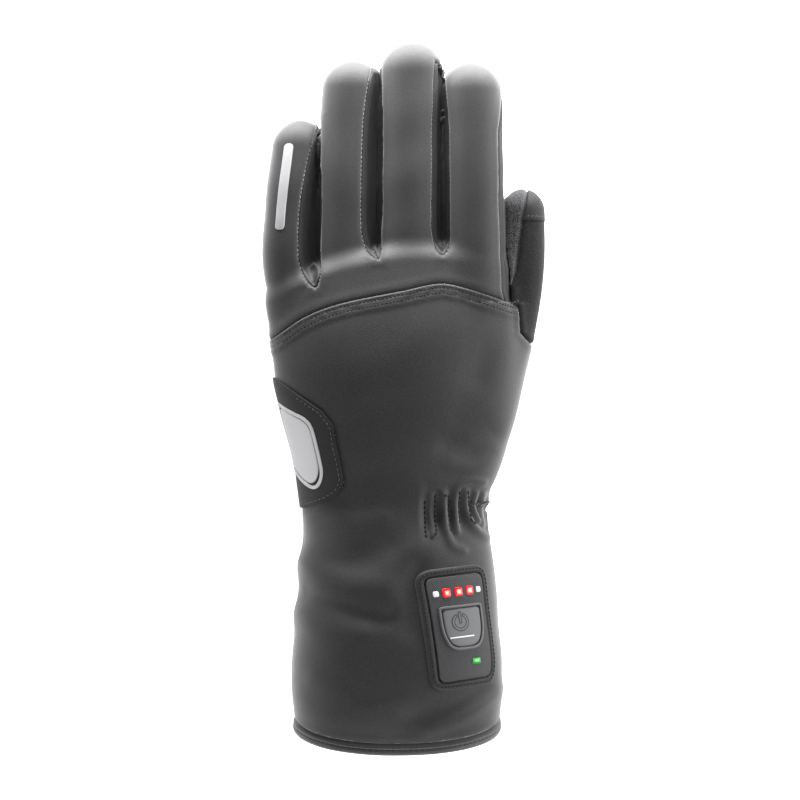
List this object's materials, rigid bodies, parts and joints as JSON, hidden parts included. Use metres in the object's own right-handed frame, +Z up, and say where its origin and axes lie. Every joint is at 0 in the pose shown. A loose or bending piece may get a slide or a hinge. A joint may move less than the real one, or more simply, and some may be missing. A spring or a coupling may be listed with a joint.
{
  "type": "heated glove",
  "caption": "Dark softshell heated winter glove for the left hand with a wide cuff, a wrist gathered by elastic and a lit control unit on the cuff.",
  "frame": {"origin": "centre of the glove's bounding box, on the table that it lies on", "axes": "+Y from the cuff's hem to the fingertips, +Z up through the back of the hand, +X towards the thumb"},
  "size_m": [0.122, 0.3024, 0.062],
  "materials": {
    "softshell": "brushed stretch softshell",
    "grip_fabric": "napped grip fabric",
    "gusset_fabric": "stretch woven",
    "trim_fabric": "smooth binding tape",
    "patch_fabric": "smooth coated fabric",
    "reflective_film": "retroreflective print",
    "woven_panel": "moulded twill texture",
    "button_rubber": "matt silicone",
    "red_lamp": "clear lens",
    "white_lamp": "clear lens",
    "green_lamp": "clear lens"
  },
  "bodies": {
    "root": {"finger_back": "softshell", "hand_back": "softshell", "palm": "grip_fabric", "cuff_underside": "softshell", "gusset_little_ring": "gusset_fabric", "gusset_ring_middle": "gusset_fabric", "gusset_middle_index": "gusset_fabric", "gusset_index_side": "gusset_fabric", "thumb_inner_half": "grip_fabric", "thumb_outer_half": "grip_fabric", "hem_binding": "trim_fabric", "side_patch": "patch_fabric", "emblem_band": "reflective_film", "emblem_leaf": "reflective_film", "finger_stripe": "reflective_film", "thumb_tip_patch": "patch_fabric", "control_surround": "trim_fabric", "control_panel": "woven_panel", "button_rim": "button_rubber", "power_button": "button_rubber", "red_lamp_1": "red_lamp", "red_lamp_2": "red_lamp", "red_lamp_3": "red_lamp", "white_lamp_1": "white_lamp", "white_lamp_2": "white_lamp", "green_lamp": "green_lamp"}
  },
  "joints": []
}
